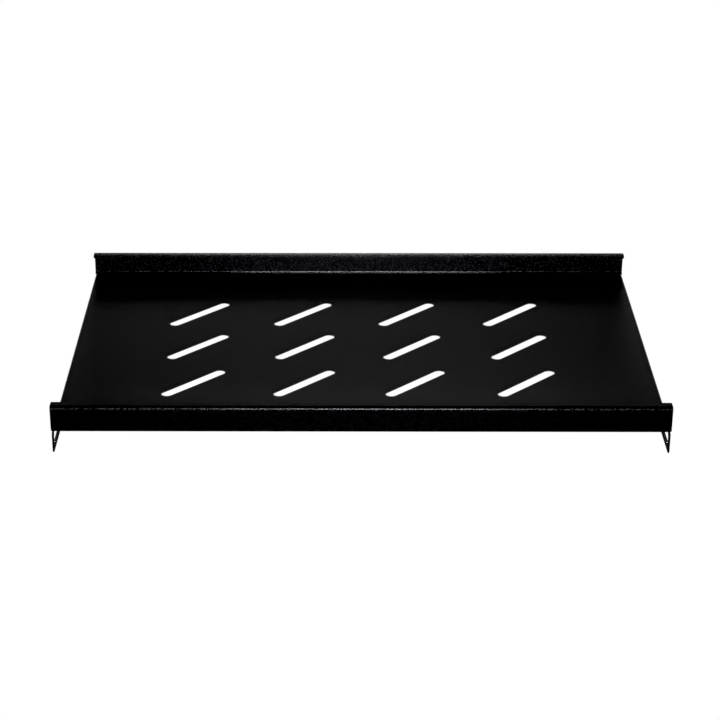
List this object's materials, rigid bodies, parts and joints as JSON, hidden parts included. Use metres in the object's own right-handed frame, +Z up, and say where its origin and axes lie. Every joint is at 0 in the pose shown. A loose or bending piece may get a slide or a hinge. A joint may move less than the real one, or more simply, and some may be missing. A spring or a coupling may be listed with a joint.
{
  "type": "rack shelf",
  "caption": "Shallow vented rack shelf folded from a single steel sheet, with a front lip, a rear stop wall and slotted side flanges that screw to the rack.",
  "frame": {"origin": "under the middle of the shelf, level with the lower edges of its side flanges: the bottom centre of its box", "axes": "+X to the right seen from the front lip, across the rack; +Y from the front lip to the rear wall; +Z up, out of the deck"},
  "size_m": [0.45, 0.256, 0.054],
  "materials": {
    "black_powder_coat": "fine-textured black powder coat with a semi-gloss sheen"
  },
  "bodies": {
    "root": {"shelf_tray": "black_powder_coat"}
  },
  "joints": []
}
